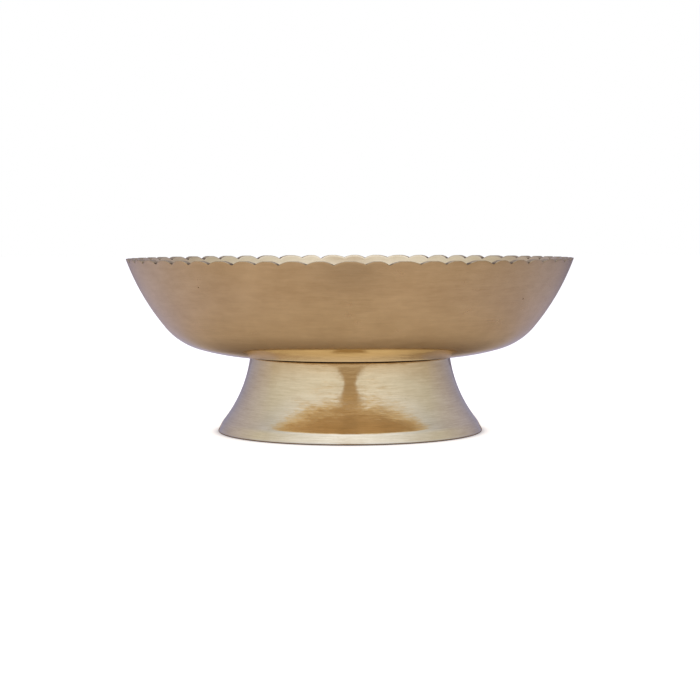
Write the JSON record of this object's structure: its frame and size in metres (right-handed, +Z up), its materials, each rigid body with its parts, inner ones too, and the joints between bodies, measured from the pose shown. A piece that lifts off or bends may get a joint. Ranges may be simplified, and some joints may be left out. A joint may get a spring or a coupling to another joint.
{
  "type": "footed bowl",
  "caption": "Shallow brass bowl with a finely scalloped rim on a hollow flared foot, for floating flowers, sweets or a lamp.",
  "frame": {"origin": "centre of the circle that the foot rests on, at table height", "axes": "+Z up along the turning axis, towards the open rim"},
  "size_m": [0.108, 0.108, 0.042],
  "materials": {
    "brass_bowl": "satin turned brass, slightly aged",
    "brass_foot": "bright brass with fine turning lines",
    "solder": "dark tarnished brazing alloy"
  },
  "bodies": {
    "root": {"bowl": "brass_bowl", "foot": "brass_foot", "solder_joint": "solder"}
  },
  "joints": []
}
